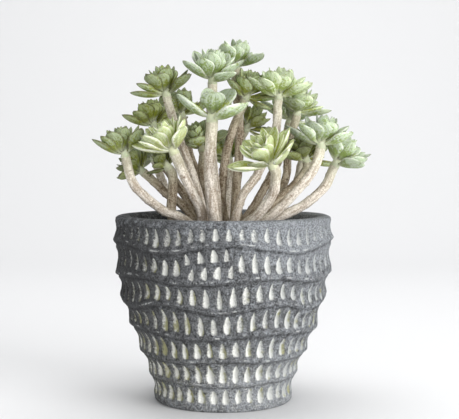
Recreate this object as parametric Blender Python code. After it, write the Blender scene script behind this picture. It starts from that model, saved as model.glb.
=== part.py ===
"""A bushy rosette succulent in a round pot with wavy ridges and rows of gouges.

Metres, +Z up. The origin is the middle of the pot's flat underside, and the front of the plant faces -Y.
Angles around the pot are in degrees, from the front (-Y) towards the right (+X).
"""

import math
import random
from collections import namedtuple

import bmesh
import bpy
from mathutils import Matrix, Vector
from mathutils.bvhtree import BVHTree

MM = 0.001
SHARP_ANGLE = 25

# Pot, in millimetres from the underside
RIM_HEIGHT = 102.0
RIM_MIDDLE_RADIUS = 54.6
RIM_EDGE_HEIGHT = 99.6
SHOULDER_RADIUS = 57.6
SHOULDER_HEIGHT = 101.3
LIP_RADIUS = 51.6
LIP_HEIGHT = 101.0
MOUTH_RADIUS = 50.2
MOUTH_HEIGHT = 98.6
FOOT_RADIUS = 36.5
CAVITY_FLOOR_HEIGHT = 9.0
CAVITY_FLOOR_RADIUS = 29.0
CAVITY_SIDES = 28

# Each band of the wall ends in a ridge at its foot: how many gouges it has, its radius at the top, the
# ridge's mean height and radius, and how the ridge waves: height, waves around the pot, angle of a crest
Band = namedtuple("Band", "gouges top_radius ridge_height ridge_radius wave waves crest")
BANDS = [
    Band(56, 59.2, 88.6, 60.4, 2.4, 5, 3),
    Band(54, 59.0, 71.7, 59.1, 1.4, 5, 20),
    Band(51, 56.6, 57.2, 56.4, 2.1, 6, 27),
    Band(48, 53.3, 42.4, 51.7, 1.4, 4, 28),
    Band(44, 48.6, 28.2, 46.2, 0.6, 4, 3),
    Band(40, 43.4, 15.2, 40.6, 0.5, 3, 60),
    Band(37, 39.2, 2.6, 38.0, 0.0, 1, 0),
]
UNDERCUT = 4.6
GOUGE_WIDTH = 3.3
GOUGE_MARGIN = 0.9
GOUGE_DEPTH = 1.3
GOUGE_SAG = 0.12
GOUGE_SLANT = (-1.0, 0.3)
GOUGE_SEED = 11
# The second band is tall enough at the front for two short rows of gouges
DOUBLE_ROW_BAND = 1
DOUBLE_ROW_FROM = -18.0
DOUBLE_ROW_TO = 9.0

# Soil
SOIL_EDGE_HEIGHT = 92.5
SOIL_MOUND = 2.0
SOIL_GAP = 0.385
SOIL_STEPS = ((0.72, 14), (0.36, 7))
SEAT_GAP = 0.35
STEM_DEPTH = 9.0
HOLE_SIDES = 8
HOLE_TOP = 98.5

# Stems and rosettes
STEM_POINTS = 10
STEM_SAMPLES = 200
STEM_TAPER = 0.93
FOOT_POINTS = 3
RISE = 9.0
NECK_LENGTH = 3.0
GOLDEN_ANGLE = 137.5
HEAD_GAP = 0.35
CORE_SIDES = 6
CORE_HEIGHT = 6.0
CORE_FOOT = 0.95
CORE_TOP = 0.5
LOWEST_LEAF = 1.4
HIGHEST_LEAF = 4.6
ROOT_OFFSET = 1.2
CLEARANCE = 0.5
STEM_CLEARANCE = 0.25
# Leaves shorten and narrow by these shares from the lowest to the innermost
SHORTENING = 0.58
NARROWING = 0.48
LEAF_CURL = 16
CURL_LOSS = 8
SPIN_JITTER = 6
LIFT_JITTER = 5
# What bend_clear tries in turn: shares of the full size, and pairs of extra lift and turn in degrees
SIZE_TRIES = (1.0, 0.86, 0.72, 0.58)
BEND_TRIES = ((0, 0), (11, 0), (-11, 0), (0, 12), (0, -12), (22, 0), (11, 14), (11, -14), (-11, 14),
              (-11, -14), (33, 0), (22, 22), (22, -22), (-22, 0), (44, 0))
LEAF_SIDES = 4
LEAF_RINGS = 4
INNER_LEAF_RINGS = 3
INNER_FROM = 0.6
# How blunt a leaf's outline is: the lower, the rounder its tip
POINTED_LEAF = 0.85
ROUND_LEAF = 0.6
LEAF_THICKNESS = 0.14
LEAF_CUP = 0.16
UPPER_FACE = 0.75
LOWER_FACE = 1.1

# Each shoot: neck (the stem's top), the head's tilt from upright and the way it tilts (degrees, 0 towards
# +X and 90 towards +Y), the root's place in the soil, the points that the stem passes, the stem's radius,
# the leaves' length, width and number, the way the lowest leaf points, the lift of the lowest and of the
# innermost leaf (degrees), and the head's colour
Shoot = namedtuple("Shoot", "neck tilt toward root via radius length width leaves turn low high tone")
SHOOTS = [
    Shoot((-6, -26, 153), 8, -90, (-4, -15), [(-6, -21, 108), (-7, -25, 130)],
          3.4, 23, 18.5, 6, -35, 12, 80, "pale"),
    Shoot((26, -36, 129), 36, -145, (10, -19), [(18, -24, 103), (26, -29, 115)],
          3.0, 25, 12, 15, 150, 8, 78, "fresh"),
    Shoot((-26, -21, 136), 26, -160, (-12, -11), [(-12, -15, 105), (-19, -19, 120)],
          3.0, 23, 11, 12, 165, 22, 78, "fresh"),
    Shoot((-6, -4, 174), 6, -80, (-3, -1), [(-4, 0, 112), (-7, -1, 145)],
          2.8, 23, 13, 13, -60, 10, 80, "pale"),
    Shoot((52, -18, 139), 10, -10, (17, -11), [(29, -15, 105), (46, -18, 124)],
          2.9, 21, 13.5, 11, 185, 8, 78, "pale"),
    Shoot((-53, -8, 134), 10, 180, (-18, -3), [(-24, -5, 101), (-34, -7, 105.5), (-48, -8, 118)],
          2.7, 19, 12, 11, 190, 24, 78, "fresh"),
    Shoot((61, -2, 129), 28, 0, (21, -3), [(30, -3, 100.5), (44, -3, 107.5), (55, -3, 117)],
          2.8, 22, 13, 12, -60, 12, 78, "pale"),
    Shoot((30, -4, 165), 8, 0, (6, -7), [(10, -6, 112), (19, -4, 125), (28, -4, 146)],
          2.6, 21, 13, 12, 190, 12, 80, "fresh"),
    Shoot((-31, 0, 167), 10, 170, (-10, 1), [(-15, 1, 118), (-25, 1, 146)],
          2.6, 20, 12, 12, 185, 4, 80, "fresh"),
    Shoot((7, 17, 183), 10, 50, (6, 4), [(7, 8, 115), (9, 15, 145)],
          2.7, 18.5, 11, 13, -40, 12, 80, "pale"),
    Shoot((12, 7, 165), 26, -15, (1, 14), [(-1, 13, 115), (3, 10.5, 142)],
          2.6, 20, 13, 9, -30, 6, 74, "fresh"),
    Shoot((41, 14, 157), 14, 15, (17, 11), [(27, 13, 107), (35, 14, 122), (36, 14, 140)],
          2.5, 18, 12, 11, 0, 8, 78, "fresh"),
    Shoot((-39, 18, 150), 8, 150, (-10, 16), [(-22, 17, 112), (-35, 18, 132)],
          2.6, 18, 12, 10, 200, 14, 78, "olive"),
    Shoot((46, 5, 131), 12, 170, (17, 4), [(27, 4, 108), (39, 5, 118)],
          2.5, 16, 11, 9, 230, 10, 78, "olive"),
    Shoot((12, 22, 148), 34, 0, (9, 14), [(7, 18, 112), (8, 21, 130)],
          2.5, 19, 9, 10, 10, 10, 78, "olive"),
    Shoot((-12, 8, 138), 30, -120, (-5, 7), [(-9, 8, 112), (-12, 9, 126)],
          2.5, 18, 13, 8, 220, -8, 74, "fresh"),
    Shoot((-45, 14, 125), 52, 175, (-16, 8), [(-22, 11, 106), (-32, 14, 113)],
          2.6, 17, 10, 10, 240, 10, 78, "olive"),
    Shoot((-30, 5, 127), 34, 180, (-28, 4), [(-29, 5, 105), (-28, 5, 117)],
          2.9, 12, 8, 8, 200, 8, 76, "olive"),
    Shoot((-24, 38, 156), 20, 115, (-4, 22), [(-11, 27, 112), (-20, 35, 136)],
          2.6, 20, 12, 11, 100, 4, 78, "fresh"),
    Shoot((38, 38, 153), 18, 45, (11, 21), [(19, 27, 108), (32, 35, 132)],
          2.6, 20, 12, 11, 45, 4, 78, "pale"),
    Shoot((46, 34, 132), 28, 30, (20, 18), [(30, 24, 104), (41, 31, 116)],
          2.6, 20, 12, 10, 20, 4, 78, "fresh"),
    Shoot((-40, 38, 131), 28, 140, (-13, 24), [(-21, 29, 103), (-33, 35, 114)],
          2.6, 20, 12, 10, 150, 4, 78, "pale"),
    Shoot((3, 52, 131), 34, 92, (2, 29), [(2, 37, 103), (3, 47, 114)],
          2.7, 20, 12, 10, 80, 2, 78, "fresh"),
]
# Heads of a few broad, round leaves that wind the other way round, by number from 1
BROAD_HEADS = (1,)

# Colour and roughness of each material
COLOURS = {
    "pot": ((0.10, 0.105, 0.115), 0.85),
    "soil": ((0.045, 0.032, 0.024), 0.95),
    "stem": ((0.42, 0.34, 0.26), 0.8),
    "pale": ((0.36, 0.44, 0.28), 0.6),
    "fresh": ((0.30, 0.42, 0.16), 0.55),
    "olive": ((0.20, 0.28, 0.10), 0.6),
}


def clear_scene():
    """Remove what the file opens with."""
    for old in list(bpy.data.objects):
        bpy.data.objects.remove(old, do_unlink=True)


def new_collection(name):
    """An empty collection in the scene."""
    collection = bpy.data.collections.new(name)
    bpy.context.scene.collection.children.link(collection)
    return collection


def make_material(name, kind):
    """A plain Principled material in one of the object's colours."""
    colour, roughness = COLOURS[kind]
    material = bpy.data.materials.new(name)
    material.use_nodes = True
    shader = material.node_tree.nodes["Principled BSDF"]
    shader.inputs["Base Color"].default_value = (*colour, 1.0)
    shader.inputs["Roughness"].default_value = roughness
    shader.inputs["Metallic"].default_value = 0.0
    material.diffuse_color = (*colour, 1.0)
    return material


def add_object(name, bm, collection, kind=None):
    """Turn a bmesh into an object, with its own material when a colour is given."""
    bmesh.ops.recalc_face_normals(bm, faces=bm.faces)
    mesh = bpy.data.meshes.new(name)
    bm.to_mesh(mesh)
    bm.free()
    made = bpy.data.objects.new(name, mesh)
    collection.objects.link(made)
    if kind:
        mesh.materials.append(make_material(name, kind))
        mesh.shade_smooth()
        mesh.set_sharp_from_angle(angle=math.radians(SHARP_ANGLE))
    return made


def add_boolean(target, operation, collection):
    """Join to, or cut from, the target everything in a collection."""
    modifier = target.modifiers.new(operation.title(), "BOOLEAN")
    modifier.operation = operation
    modifier.operand_type = "COLLECTION"
    modifier.collection = collection
    modifier.solver = "EXACT"
    return modifier


def apply_modifiers(target):
    """Replace the object's mesh by its evaluated one."""
    evaluated = target.evaluated_get(bpy.context.evaluated_depsgraph_get())
    mesh = bpy.data.meshes.new_from_object(evaluated)
    target.modifiers.clear()
    old = target.data
    target.data = mesh
    bpy.data.meshes.remove(old)


def empty_collection(collection):
    """Remove a collection's objects once a Boolean that used them is applied."""
    for helper in list(collection.objects):
        bpy.data.objects.remove(helper, do_unlink=True)


# The pot

def ridge_wave(band, angle):
    """Height of a ridge above its mean at an angle around the pot."""
    return band.wave * math.cos(math.radians(band.waves * (angle - band.crest)))


def ring(bm, count, radius, height, band=None):
    """A level or waving ring of edges around the pot's axis."""
    turn = Matrix.Rotation(math.pi / count, 4, "Z")
    lift = Matrix.Translation((0, 0, height * MM))
    made = bmesh.ops.create_circle(bm, segments=count, radius=radius * MM, matrix=lift @ turn)
    if band:
        for vert in made["verts"]:
            vert.co.z += ridge_wave(band, front_angle(vert.co)) * MM
    edges = set()
    for vert in made["verts"]:
        edges.update(vert.link_edges)
    return list(edges)


def front_angle(point):
    """Angle around the pot from the front, positive towards the right."""
    return math.degrees(math.atan2(point.x, -point.y))


def bridge(bm, upper, lower):
    """Faces between two rings of edges."""
    return bmesh.ops.bridge_loops(bm, edges=upper + lower)["faces"]


def split_tall_cells(bm, cells):
    """Cut the tall cells at the front in two, one above the other, and return all the cells."""
    uprights = set()
    for face in cells:
        angle = front_angle(face.calc_center_median())
        if DOUBLE_ROW_FROM < angle < DOUBLE_ROW_TO:
            uprights.update(edge for edge in face.edges if is_upright(edge))
    split = bmesh.ops.subdivide_edges(bm, edges=list(uprights), cuts=1)
    halves = set(cells)
    for part in split["geom_inner"]:
        if isinstance(part, bmesh.types.BMEdge):
            halves.update(part.link_faces)
    return list(halves)


def is_upright(edge):
    """True for an edge that runs more up than around."""
    run = edge.verts[1].co - edge.verts[0].co
    return abs(run.z) > math.hypot(run.x, run.y)


def teardrop(angle, width, height):
    """A point on a gouge's outline: pointed at the top, round and wider below."""
    across = 0.5 * width * math.cos(angle)
    up = 0.5 * height * math.sin(angle) - GOUGE_SAG * height * math.cos(angle) ** 2
    return across, up


def carve_gouges(bm, cells, chance):
    """Inset each cell, turn the inset into a teardrop and push its middle in."""
    frames = {}
    for face in cells:
        middle = face.calc_center_median()
        outward = Vector((middle.x, middle.y, 0)).normalized()
        across = Vector((0, 0, 1)).cross(outward)
        heights = [vert.co.z for vert in face.verts]
        frames[face] = (middle, across, max(heights) - min(heights))
    bmesh.ops.inset_individual(bm, faces=cells, thickness=GOUGE_MARGIN * MM)
    for face, (middle, across, tall) in frames.items():
        normal = face.normal.copy()
        up = normal.cross(across)
        up = up if up.z > 0 else -up
        width = GOUGE_WIDTH * MM * chance.uniform(0.85, 1.12)
        height = (tall - 2 * GOUGE_MARGIN * MM) * chance.uniform(0.84, 0.98)
        slant = chance.uniform(*GOUGE_SLANT) * MM
        size = max((vert.co - middle).length for vert in face.verts)
        for vert in face.verts:
            offset = (vert.co - middle) / size
            angle = math.atan2(offset.dot(up), offset.dot(across)) + math.radians(45)
            side, rise = teardrop(corner_angle(angle), width, height)
            vert.co = middle + across * (side - slant * rise / height) + up * rise
    bmesh.ops.poke(bm, faces=cells, offset=-GOUGE_DEPTH * MM, center_mode="MEAN")


def corner_angle(angle):
    """Round an angle to the nearest eighth of a turn, so that corners land on the outline's points."""
    eighth = math.radians(45)
    return round(angle / eighth) * eighth


def build_pot(collection):
    """Rings from the rim down the outside, across the underside and up the inside, bridged in order."""
    chance = random.Random(GOUGE_SEED)
    bm = bmesh.new()
    first = BANDS[0]
    crown = ring(bm, first.gouges, RIM_MIDDLE_RADIUS, RIM_HEIGHT)
    shoulder = ring(bm, first.gouges, SHOULDER_RADIUS, SHOULDER_HEIGHT)
    bridge(bm, crown, shoulder)
    above = shoulder
    previous = None
    cells = []
    for band in BANDS:
        top_height = previous.ridge_height - UNDERCUT if previous else RIM_EDGE_HEIGHT
        top = ring(bm, band.gouges, band.top_radius, top_height, previous)
        bridge(bm, above, top)
        ridge = ring(bm, band.gouges, band.ridge_radius, band.ridge_height, band)
        faces = bridge(bm, top, ridge)
        if BANDS.index(band) == DOUBLE_ROW_BAND:
            faces = split_tall_cells(bm, faces)
        cells.extend(faces)
        above = ridge
        previous = band
    foot = ring(bm, BANDS[-1].gouges, FOOT_RADIUS, 0.0)
    bridge(bm, above, foot)
    bmesh.ops.edgeloop_fill(bm, edges=foot)
    lip = ring(bm, first.gouges, LIP_RADIUS, LIP_HEIGHT)
    bridge(bm, crown, lip)
    mouth = ring(bm, CAVITY_SIDES, MOUTH_RADIUS, MOUTH_HEIGHT)
    bridge(bm, lip, mouth)
    floor = ring(bm, CAVITY_SIDES, CAVITY_FLOOR_RADIUS, CAVITY_FLOOR_HEIGHT)
    bridge(bm, mouth, floor)
    bmesh.ops.edgeloop_fill(bm, edges=floor)
    bmesh.ops.recalc_face_normals(bm, faces=bm.faces)
    carve_gouges(bm, cells, chance)
    return add_object("pot", bm, collection, "pot")


# The soil

def cavity_radius(height):
    """Radius of the pot's cavity at a height, along its sides' corners."""
    share = (height - CAVITY_FLOOR_HEIGHT) / (MOUTH_HEIGHT - CAVITY_FLOOR_HEIGHT)
    return CAVITY_FLOOR_RADIUS + share * (MOUTH_RADIUS - CAVITY_FLOOR_RADIUS)


def soil_height(radius):
    """Height of the soil's surface at a distance from the axis."""
    share = radius / cavity_radius(SOIL_EDGE_HEIGHT)
    return SOIL_EDGE_HEIGHT + SOIL_MOUND * math.cos(share * math.pi / 2)


def build_soil(collection, cutters):
    """A plug that follows the cavity, mounded on top, with a plain hole for each stem."""
    bm = bmesh.new()
    bottom_height = CAVITY_FLOOR_HEIGHT + SEAT_GAP
    bottom = ring(bm, CAVITY_SIDES, cavity_radius(bottom_height) - SOIL_GAP, bottom_height)
    bmesh.ops.edgeloop_fill(bm, edges=bottom)
    edge_radius = cavity_radius(SOIL_EDGE_HEIGHT) - SOIL_GAP
    edge = ring(bm, CAVITY_SIDES, edge_radius, SOIL_EDGE_HEIGHT)
    bridge(bm, bottom, edge)
    above = edge
    for share, count in SOIL_STEPS:
        radius = edge_radius * share
        step = ring(bm, count, radius, soil_height(radius))
        bridge(bm, above, step)
        above = step
    bmesh.ops.edgeloop_fill(bm, edges=above)
    soil = add_object("soil", bm, collection, "soil")
    for shoot in SHOOTS:
        stem_hole(shoot, cutters)
    add_boolean(soil, "DIFFERENCE", cutters)
    apply_modifiers(soil)
    empty_collection(cutters)
    return soil


def stem_hole(shoot, cutters):
    """An upright prism round a stem's buried end."""
    radius = (shoot.radius + SEAT_GAP) / math.cos(math.pi / HOLE_SIDES)
    low = root_height(shoot) - SEAT_GAP
    bm = bmesh.new()
    middle = Matrix.Translation((shoot.root[0] * MM, shoot.root[1] * MM, 0.5 * (low + HOLE_TOP) * MM))
    bmesh.ops.create_cone(bm, cap_ends=True, segments=HOLE_SIDES, radius1=radius * MM, radius2=radius * MM,
                          depth=(HOLE_TOP - low) * MM, matrix=middle)
    hole = add_object("hole", bm, cutters)
    hole.hide_render = True
    hole.display_type = "WIRE"


# The stems

def root_height(shoot):
    """Height of a stem's buried end."""
    return soil_height(math.hypot(*shoot.root)) - STEM_DEPTH


def head_axis(shoot):
    """Unit vector up the middle of a shoot's head."""
    tilt = math.radians(shoot.tilt)
    toward = math.radians(shoot.toward)
    return Vector((math.sin(tilt) * math.cos(toward), math.sin(tilt) * math.sin(toward), math.cos(tilt)))


def stem_route(shoot):
    """The points that a stem passes above the soil, in millimetres, with one more at each end that only
    gives its direction: upright out of the soil, and along the head's axis at the top."""
    x, y = shoot.root
    surface = Vector((x, y, soil_height(math.hypot(x, y)) + 1))
    via = [Vector(point) for point in shoot.via]
    neck = Vector(shoot.neck)
    return [via[0] - Vector((0, 0, 2 * RISE)), surface, *via, neck - head_axis(shoot) * NECK_LENGTH, neck]


def smooth_point(points, position):
    """A point on the Catmull-Rom curve through the inner points, at 0 to 1 along them."""
    spans = len(points) - 3
    place = min(position * spans, spans - 1e-6)
    index = int(place)
    share = place - index
    before, start, end, after = points[index:index + 4]
    slope_in = (end - before) * 0.5
    slope_out = (after - start) * 0.5
    square = share * share
    cube = square * share
    return (start * (2 * cube - 3 * square + 1) + slope_in * (cube - 2 * square + share)
            + end * (3 * square - 2 * cube) + slope_out * (cube - square))


def stem_line(shoot, count):
    """Evenly shared points along the stem, in millimetres, between its straight ends."""
    points = stem_route(shoot)
    fine = [smooth_point(points, step / STEM_SAMPLES) for step in range(STEM_SAMPLES + 1)]
    travelled = [0.0]
    for start, end in zip(fine, fine[1:]):
        travelled.append(travelled[-1] + (end - start).length)
    line = [Vector((*shoot.root, root_height(shoot)))]
    for step in range(count - 2):
        goal = travelled[-1] * step / (count - 3)
        index = min(range(len(travelled)), key=lambda place: abs(travelled[place] - goal))
        line.append(fine[index])
    line.append(Vector(shoot.neck))
    return line


def build_stem(shoot, name, collection):
    """A stem: a curve with a round section, a little thicker at its foot, turned into a mesh."""
    curve = bpy.data.curves.new(name, "CURVE")
    curve.dimensions = "3D"
    curve.bevel_depth = shoot.radius * MM
    curve.bevel_resolution = 1
    curve.use_fill_caps = True
    line = stem_line(shoot, STEM_POINTS)
    spline = curve.splines.new("POLY")
    spline.points.add(len(line) - 1)
    for index, point in enumerate(line):
        spline.points[index].co = (*(point * MM), 1.0)
        spline.points[index].radius = 1.0 if index < FOOT_POINTS else STEM_TAPER
    holder = bpy.data.objects.new(name, curve)
    collection.objects.link(holder)
    evaluated = holder.evaluated_get(bpy.context.evaluated_depsgraph_get())
    tube = bpy.data.meshes.new_from_object(evaluated)
    bpy.data.objects.remove(holder, do_unlink=True)
    bm = bmesh.new()
    bm.from_mesh(tube)
    bpy.data.meshes.remove(tube)
    bmesh.ops.remove_doubles(bm, verts=bm.verts, dist=0.01 * MM)
    return add_object(name, bm, collection, "stem")


# The rosettes

Leaf = namedtuple("Leaf", "place outward axis length width blunt lift curl rings")


def leaf_half_width(share, blunt):
    """Half width of a blade of width 1 along its length: narrow root, widest past the middle."""
    return 0.5 * math.sin(math.pi * share ** 1.7) ** blunt


def leaf_half_thickness(share):
    """Half thickness of a blade, as a share of its width."""
    return LEAF_THICKNESS * math.sin(math.pi * share ** 0.85) ** 0.6


def add_leaf(bm, leaf, grow=0.0):
    """A leaf from a sphere whose poles become its root and its tip; grow thickens it all round."""
    sphere = bmesh.ops.create_uvsphere(bm, u_segments=LEAF_SIDES, v_segments=leaf.rings, radius=1.0)
    side = leaf.axis.cross(leaf.outward)
    for vert in sphere["verts"]:
        share = math.acos(max(-1.0, min(1.0, -vert.co.z))) / math.pi
        reach = math.hypot(vert.co.x, vert.co.y)
        across = vert.co.x / reach if reach > 1e-4 else 0.0
        thick = vert.co.y / reach if reach > 1e-4 else 0.0
        bow = leaf.curl * share
        angle = math.radians(leaf.lift + 0.5 * bow)
        along = leaf.outward * math.cos(angle) + leaf.axis * math.sin(angle)
        tangent = math.radians(leaf.lift + bow)
        up = leaf.axis * math.cos(tangent) - leaf.outward * math.sin(tangent)
        half = leaf.width * leaf_half_width(share, leaf.blunt) + grow * abs(across)
        face = UPPER_FACE if thick > 0 else LOWER_FACE
        depth = leaf.width * leaf_half_thickness(share) * face + grow * abs(thick)
        cup = LEAF_CUP * half * across * across
        vert.co = (leaf.place + along * leaf.length * share + side * half * across
                   + up * (depth * thick + cup)) * MM
    return sphere["verts"]


def rosette_leaves(shoot, number):
    """The leaves of a head in order, from the lowest to the innermost, by the golden angle."""
    chance = random.Random(number)
    step = -GOLDEN_ANGLE if number in BROAD_HEADS else GOLDEN_ANGLE
    blunt = ROUND_LEAF if number in BROAD_HEADS else POINTED_LEAF
    axis = head_axis(shoot)
    start = Vector((0, 1, 0)).cross(axis).normalized()
    base = Vector(shoot.neck) + axis * HEAD_GAP
    leaves = []
    for index in range(shoot.leaves):
        rank = index / (shoot.leaves - 1)
        jitter = chance.uniform(-SPIN_JITTER, SPIN_JITTER)
        spin = math.radians(shoot.turn + index * step + jitter)
        outward = Matrix.Rotation(spin, 3, axis) @ start
        jitter = chance.uniform(-LIFT_JITTER, LIFT_JITTER)
        lift = shoot.low + (shoot.high - shoot.low) * rank ** 0.9 + jitter
        length = shoot.length * (1 - SHORTENING * rank ** 1.2) * chance.uniform(0.93, 1.05)
        width = shoot.width * (1 - NARROWING * rank) * chance.uniform(0.92, 1.05)
        height = LOWEST_LEAF + (HIGHEST_LEAF - LOWEST_LEAF) * rank
        place = base + axis * height + outward * ROOT_OFFSET
        rings = LEAF_RINGS if rank < INNER_FROM else INNER_LEAF_RINGS
        curl = LEAF_CURL - CURL_LOSS * rank
        leaves.append(Leaf(place, outward, axis, length, width, blunt, lift, curl, rings))
    return leaves


def tree_of(leaf, grow):
    """A search tree of a leaf's surface, grown all round."""
    bm = bmesh.new()
    add_leaf(bm, leaf, grow)
    tree = BVHTree.FromBMesh(bm)
    bm.free()
    return tree


def bend_clear(leaf, others, own_stem):
    """Bend, turn or shorten a leaf until it is clear of the other shoots; None where nothing helps."""
    for share in SIZE_TRIES:
        for lift, turn in BEND_TRIES:
            outward = Matrix.Rotation(math.radians(turn), 3, leaf.axis) @ leaf.outward
            bent = leaf._replace(outward=outward, lift=leaf.lift + lift, length=leaf.length * share,
                                 width=leaf.width * (0.4 + 0.6 * share))
            if tree_of(bent, STEM_CLEARANCE).overlap(own_stem):
                continue
            blade = tree_of(bent, CLEARANCE)
            if not any(blade.overlap(other) for other in others):
                return bent
    return None


def build_rosette(shoot, name, leaves, collection, helpers):
    """A head: a short tapering core with every leaf's root sunk in it, all joined in one body."""
    axis = head_axis(shoot)
    stand = axis.to_track_quat("Z", "Y").to_matrix().to_4x4()
    middle = Vector(shoot.neck) + axis * (HEAD_GAP + 0.5 * CORE_HEIGHT)
    bm = bmesh.new()
    bmesh.ops.create_cone(bm, cap_ends=True, segments=CORE_SIDES, radius1=shoot.radius * CORE_FOOT * MM,
                          radius2=shoot.radius * CORE_TOP * MM, depth=CORE_HEIGHT * MM,
                          matrix=Matrix.Translation(middle * MM) @ stand)
    rosette = add_object(name, bm, collection, shoot.tone)
    for leaf in leaves:
        bm = bmesh.new()
        add_leaf(bm, leaf)
        add_object("leaf", bm, helpers)
    add_boolean(rosette, "UNION", helpers)
    apply_modifiers(rosette)
    empty_collection(helpers)
    rosette.data.shade_smooth()
    rosette.data.set_sharp_from_angle(angle=math.radians(SHARP_ANGLE))
    return rosette


def surface_tree(solid):
    """A search tree of an object's surface."""
    points = [vert.co for vert in solid.data.vertices]
    return BVHTree.FromPolygons(points, [list(face.vertices) for face in solid.data.polygons])


def build_plant(collection, helpers):
    """All stems first, then each head's leaves, bent clear of every other shoot."""
    trees = []
    for index, shoot in enumerate(SHOOTS):
        stem = build_stem(shoot, f"stem_{index + 1:02d}", collection)
        trees.append([surface_tree(stem)])
    for index, shoot in enumerate(SHOOTS):
        others = [tree for place, group in enumerate(trees) if place != index for tree in group]
        leaves = []
        for leaf in rosette_leaves(shoot, index + 1):
            bent = bend_clear(leaf, others, trees[index][0])
            if bent:
                leaves.append(bent)
        rosette = build_rosette(shoot, f"rosette_{index + 1:02d}", leaves, collection, helpers)
        trees[index].append(surface_tree(rosette))


def main():
    clear_scene()
    parts = new_collection("potted_succulent")
    helpers = new_collection("helpers")
    build_pot(parts)
    build_soil(parts, helpers)
    build_plant(parts, helpers)
    bpy.data.collections.remove(helpers)


main()
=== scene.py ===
"""Finish and camera for a bushy rosette succulent in a round pot with wavy ridges and rows of gouges.

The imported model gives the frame: metres, +Z up, origin at the middle of the pot's underside, front
towards -Y. Lengths in the tables are in millimetres, and angles around the pot are in degrees, from the
front towards +X.
"""

import math
import random
from collections import namedtuple

import bmesh
import bpy
from mathutils import Matrix, Vector, noise
from mathutils.bvhtree import BVHTree


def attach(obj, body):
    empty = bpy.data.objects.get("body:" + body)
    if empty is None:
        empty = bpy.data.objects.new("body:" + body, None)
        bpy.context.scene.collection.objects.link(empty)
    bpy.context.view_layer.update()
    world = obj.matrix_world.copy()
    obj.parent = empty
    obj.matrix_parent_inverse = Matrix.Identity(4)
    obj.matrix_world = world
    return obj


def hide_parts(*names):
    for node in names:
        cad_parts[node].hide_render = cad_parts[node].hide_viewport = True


MM = 0.001

# Camera, as the photograph was taken
IMAGE_WIDTH = 459
SENSOR_WIDTH = 36.0
FOCAL_PIXELS = 1182.0
CAMERA_PLACE = (3.3, -650.0, 140.3)
CAMERA_PITCH = 3.12

# Pot: its rim, foot and cavity
RIM_COLUMNS = 200
# Height and radius of each ring from the top row of gouges over the lip to the cavity's floor
LIP_RINGS = [
    (100.9, 58.9), (101.5, 58.0), (101.9, 56.8), (102.0, 55.2), (101.9, 53.6), (101.5, 52.2),
    (100.8, 51.2), (99.8, 50.5), (98.4, 50.1), (96.0, 49.6), (92.0, 48.7), (80.0, 45.9),
    (60.0, 41.2), (36.0, 35.5), (9.0, 29.2),
]
# Height and radius of each ring from the lowest ridge to the flat underside
FOOT_RINGS = [(2.2, 38.1), (1.2, 37.9), (0.5, 37.4), (0.0, 36.5)]
# The lip and the ridges, from the top: mean height and radius, the height of the wave, the number of waves
# around the pot, and the angle of a crest
Ridge = namedtuple("Ridge", "height radius wave waves crest")
RIDGES = [
    Ridge(100.0, 59.3, 0.0, 1, 0), Ridge(88.6, 60.4, 2.4, 5, 3), Ridge(71.7, 59.1, 1.4, 5, 20),
    Ridge(57.2, 56.4, 2.1, 6, 27), Ridge(42.4, 51.7, 1.4, 4, 28), Ridge(28.2, 46.2, 0.6, 4, 3),
    Ridge(15.2, 40.6, 0.5, 3, 60), Ridge(3.0, 38.1, 0.0, 1, 0),
]
# Each row of gouges lies between two ridges: how many, the angle of one of them, how far the wall sinks
# between the ridges, and the shares of the way down at which the gouges begin and end
GougeRow = namedtuple("GougeRow", "gouges phase valley begin end")
GOUGE_ROWS = [
    GougeRow(56, 3.0, 0.9, 0.10, 0.90), GougeRow(54, -3.9, 1.8, 0.22, 0.88),
    GougeRow(51, -1.8, 2.0, 0.20, 0.93), GougeRow(48, 2.2, 1.6, 0.16, 0.93),
    GougeRow(44, -0.2, 1.9, 0.16, 0.92), GougeRow(40, -0.2, 2.0, 0.16, 0.92),
    GougeRow(37, 2.2, 1.6, 0.16, 0.90),
]
# The row that is doubled at the front: its place in the list, its angles, where its gouges begin and end,
# and how far the upper and the lower ones stand aside, as shares of half a cell
DOUBLE_ROW = 1
DOUBLE_FROM = -18.0
DOUBLE_TO = 9.0
DOUBLE_BEGIN = 0.10
DOUBLE_END = 0.97
UPPER_SHIFT = -0.3
LOWER_SHIFT = 0.6
GOUGE_WIDTH = 3.9
GOUGE_DEPTH = 1.7
GOUGE_SEED = 11
# Gouges left of the front lean more
LEFT_LEAN = 0.16
# How thick the paint lies on a gouge's edge
HALO = 0.35
# Columns of points across a gouge's cell, and rows of points above, inside and below a gouge
CELL_COLUMNS = 10
ROWS_ABOVE = 4
ROWS_INSIDE = 16
ROWS_BELOW = 3
# Share of the way down between two ridges at which a row's points start
WALL_START = 0.06
# A gouge's least half width and the width of its edge, as shares of half a cell
PINCH = 0.05
EDGE = 0.045
# A ridge's roll and the undercut below it
ROLL = 0.25
UNDERCUT = 0.8

# Soil
SOIL_EDGE_HEIGHT = 92.5
SOIL_EDGE_RADIUS = 48.3
SOIL_MOUND = 2.0
SOIL_FLOOR_HEIGHT = 9.4
SOIL_FLOOR_RADIUS = 28.9
SOIL_COLUMNS = 96
SOIL_ROWS = 24
SOIL_SEED = 5
CRUMBS = 420

# Stems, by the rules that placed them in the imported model
STEM_DEPTH = 9.0
STEM_SAMPLES = 200
STEM_TAPER = 0.93
RISE = 9.0
NECK_LENGTH = 3.0
STEM_SIDES = 18
STEM_STEP = 0.8
STEM_SEED = 100
# Leaf scars: the first one's distance from the buried end, the step to the next, their depth and swelling
FIRST_SCAR = 10.0
SCAR_STEP = 3.4
SCAR_DEPTH = 0.35
SCAR_SWELL = 0.45
# How much the bark's streaks are drawn out along a stem: the lower, the longer
STREAK = 0.16

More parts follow.
